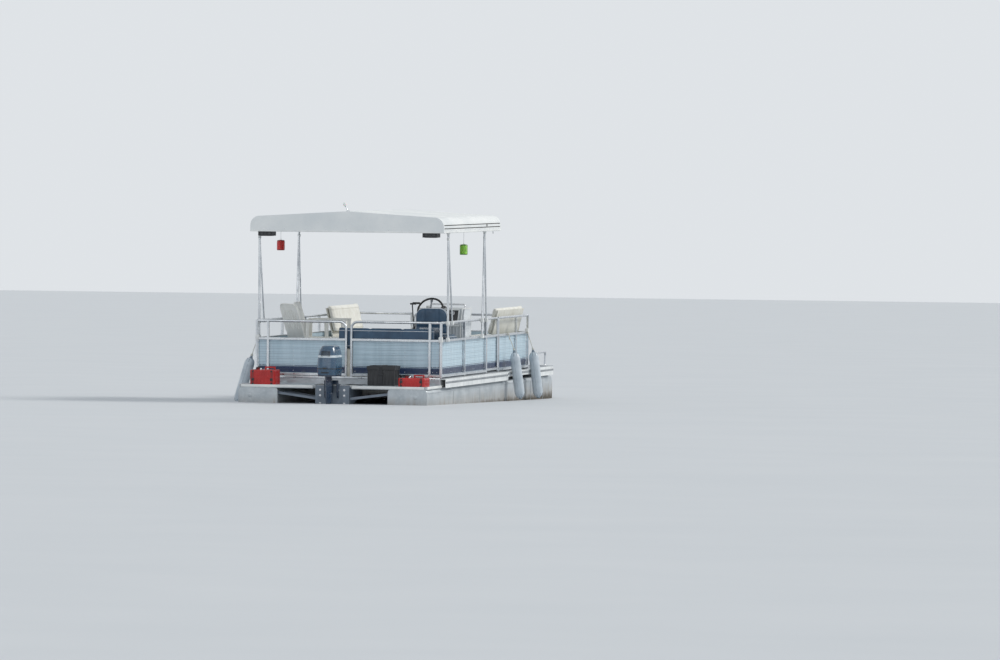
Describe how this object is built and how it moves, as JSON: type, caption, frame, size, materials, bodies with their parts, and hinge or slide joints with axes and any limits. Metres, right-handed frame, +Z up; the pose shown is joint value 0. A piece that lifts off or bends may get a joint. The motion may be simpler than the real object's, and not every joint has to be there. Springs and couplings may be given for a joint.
{
  "type": "pontoon boat",
  "caption": "Pontoon boat with a white hard top, a fenced deck with gates, benches, a helm and an outboard motor that tilts and steers.",
  "frame": {"origin": "on the centreline at the waterline, amidships between the pontoons' ends", "axes": "+X to starboard, +Y to the bow, +Z up"},
  "size_m": [2.8695, 7.033, 2.979],
  "materials": {
    "hull_aluminium": "weathered, satin",
    "beam_aluminium": "mill finish",
    "deck_carpet": "short pile marine carpet",
    "channel_white": "satin",
    "rail_aluminium": "anodised, satin",
    "panel_paint": "satin, navy stripe",
    "roof_white": "moulded, slightly chalky",
    "roof_tube": "satin",
    "vinyl_white": "vinyl upholstery",
    "vinyl_navy": "vinyl upholstery",
    "bench_shell": "moulded",
    "console_shell": "moulded",
    "resin_white": "moulded",
    "black_plastic": "moulded",
    "tank_red": "moulded",
    "lantern_red": "translucent",
    "lantern_green": "translucent",
    "fender_vinyl": "inflated vinyl",
    "motor_paint": "gloss",
    "cowl_paint": "gloss",
    "engine_iron": "cast",
    "propeller_metal": "painted",
    "bright_steel": "polished",
    "light_glass": "translucent",
    "bracket_metal": "welded"
  },
  "bodies": {
    "boat": {"armchair_aft": "resin_white", "armchair_forward": "resin_white", "battery_box": "black_plastic", "bench_backs": "vinyl_white", "bench_bases": "bench_shell", "bow_rails": "rail_aluminium", "cleats": "bright_steel", "console": "console_shell", "cross_beams": "beam_aluminium", "deck": "deck_carpet", "fence_panels": "panel_paint", "fender_port": "fender_vinyl", "fender_starboard_aft": "fender_vinyl", "fender_starboard_forward": "fender_vinyl", "fuel_tank_port": "tank_red", "fuel_tank_starboard": "tank_red", "helm_pedestal": "bright_steel", "helm_seat": "vinyl_navy", "lantern_green": "lantern_green", "lantern_red": "lantern_red", "motor_bracket": "bracket_metal", "motor_clamp": "motor_paint", "pontoon_port": "hull_aluminium", "pontoon_starboard": "hull_aluminium", "rails_front": "rail_aluminium", "rails_port": "rail_aluminium", "rails_rear": "rail_aluminium", "rails_starboard": "rail_aluminium", "roof_frame": "roof_tube", "roof_poles": "roof_tube", "roof_shell": "roof_white", "side_channels": "channel_white", "speakers": "black_plastic", "stern_bench_base": "bench_shell", "stern_bench_cushions": "vinyl_navy", "stern_light": "light_glass", "stern_platform": "bracket_metal", "throttle": "black_plastic"},
    "swivel": {"motor_swivel": "motor_paint"},
    "motor": {"motor_leg": "motor_paint", "motor_cowl": "cowl_paint", "engine_block": "engine_iron"},
    "propeller": {"propeller": "propeller_metal"},
    "wheel": {"steering_wheel": "black_plastic"},
    "side_gate": {"side_gate_frame": "rail_aluminium", "side_gate_panel": "panel_paint"},
    "bow_gate": {"bow_gate_frame": "rail_aluminium", "bow_gate_panel": "panel_paint"},
    "lid_port": {"bench_seat_port": "vinyl_white"},
    "lid_starboard": {"bench_seat_starboard": "vinyl_white"}
  },
  "joints": [
    {"name": "motor_tilt", "type": "hinge", "parent": "boat", "child": "swivel", "pos_m": [0, -3.335, 0.33], "axis": [-1, 0, 0], "range_deg": [0, 60]},
    {"name": "motor_steer", "type": "hinge", "parent": "swivel", "child": "motor", "pos_m": [0, -3.38, 0.23], "axis": [0, 0, 1], "range_deg": [-30, 30]},
    {"name": "propeller_spin", "type": "hinge", "parent": "motor", "child": "propeller", "pos_m": [0, -3.676, -0.385], "axis": [0, 1, 0], "continuous": true},
    {"name": "steering_wheel_turn", "type": "hinge", "parent": "boat", "child": "wheel", "pos_m": [0.716, -1.537, 1.16], "axis": [0, 0.866, -0.5], "range_deg": [-420, 420]},
    {"name": "side_gate_swing", "type": "hinge", "parent": "boat", "child": "side_gate", "pos_m": [1.135, -0.578, 0.5], "axis": [0, 0, 1], "range_deg": [0, 95]},
    {"name": "bow_gate_swing", "type": "hinge", "parent": "boat", "child": "bow_gate", "pos_m": [-0.339, 1.38, 0.5], "axis": [0, 0, -1], "range_deg": [0, 95]},
    {"name": "bench_lid_port", "type": "hinge", "parent": "boat", "child": "lid_port", "pos_m": [-0.9387, 0.756, 0.7803], "axis": [0, -1, 0], "range_deg": [0, 70]},
    {"name": "bench_lid_starboard", "type": "hinge", "parent": "boat", "child": "lid_starboard", "pos_m": [0.9387, 0.756, 0.7803], "axis": [0, 1, 0], "range_deg": [0, 70]}
  ],
  "couplings": [
    {"joint": "steering_wheel_turn", "follows": "motor_steer", "ratio": 14}
  ]
}
